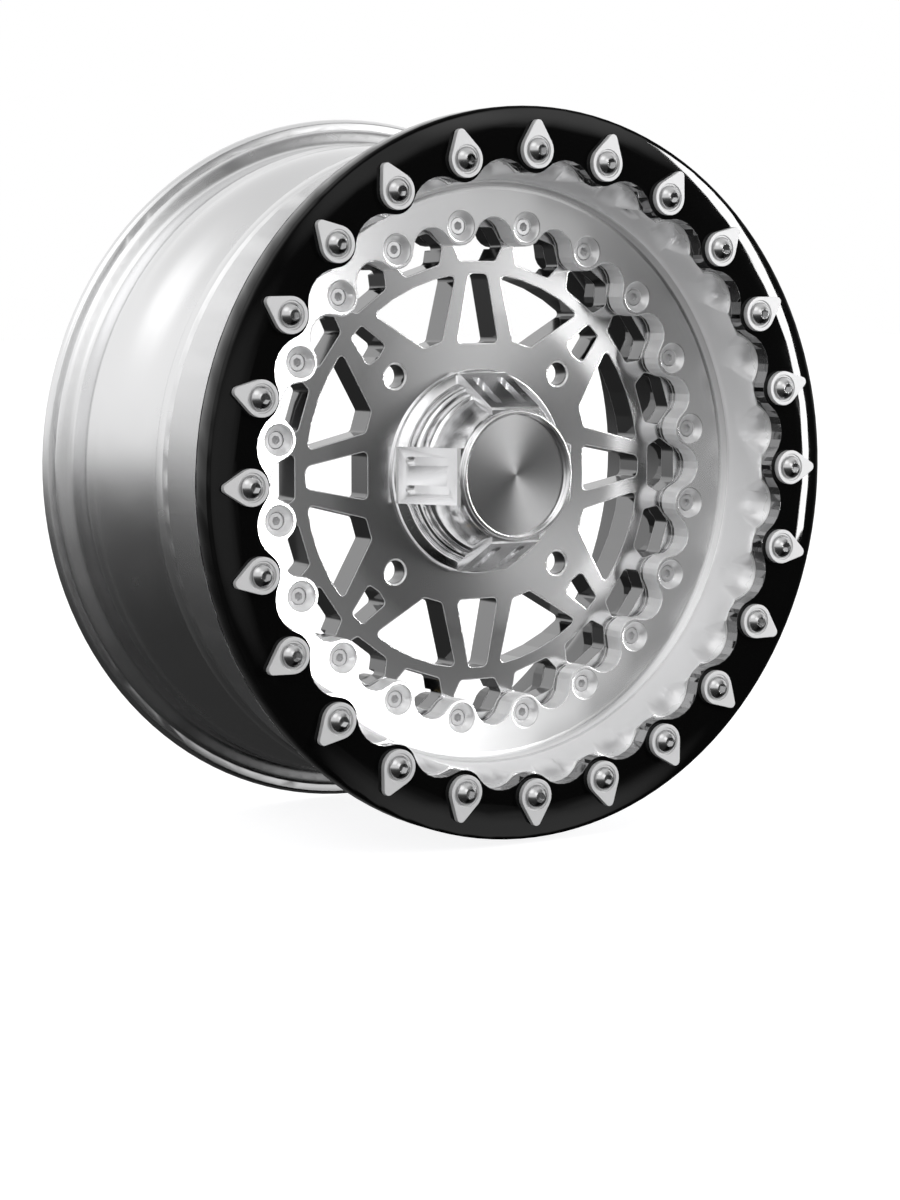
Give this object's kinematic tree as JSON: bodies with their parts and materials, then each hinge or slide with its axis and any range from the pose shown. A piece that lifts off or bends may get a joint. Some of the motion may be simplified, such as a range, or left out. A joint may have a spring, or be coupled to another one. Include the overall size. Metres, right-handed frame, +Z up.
{
  "type": "beadlock wheel",
  "caption": "Beadlock wheel: black bolted outer ring with teardrop washers, scalloped rim flange, windowed centre disc, slotted centre cap and deep rear barrel.",
  "frame": {"origin": "centre of the hub bore on the rear mounting face", "axes": "axle along Y, the front face with the cap and ring towards -Y, +Z up"},
  "size_m": [0.4137, 0.2085, 0.4138],
  "materials": {
    "ring_black": "gloss black powder coat",
    "rim_silver": "fine machined, bright satin",
    "disc_grey": "brushed, satin, with bright cut edges",
    "bolt_steel": "bright zinc",
    "washer_silver": "satin silver",
    "insert_steel": "plain steel",
    "cap_chrome": "polished",
    "insert_satin": "satin, bare of any mark",
    "seal_rubber": "matt",
    "valve_brass": "nickel-plated, worn to brass",
    "cap_plastic": "moulded"
  },
  "bodies": {
    "root": {"beadlock_ring": "ring_black", "beadlock_bolts": "bolt_steel", "teardrop_washers": "washer_silver", "threaded_inserts": "insert_steel", "outer_rim_half": "rim_silver", "centre_disc": "disc_grey", "inner_rim_half": "rim_silver", "rim_seal": "seal_rubber", "assembly_bolts": "bolt_steel", "assembly_washers": "bolt_steel", "assembly_nuts": "bolt_steel", "cap_body": "cap_chrome", "cap_bezel": "cap_chrome", "cap_insert": "insert_satin", "cap_seal": "seal_rubber", "valve_stem": "valve_brass", "valve_seal": "seal_rubber", "valve_washer": "bolt_steel", "valve_nut": "valve_brass", "valve_core": "valve_brass", "valve_cap": "cap_plastic"}
  },
  "joints": []
}
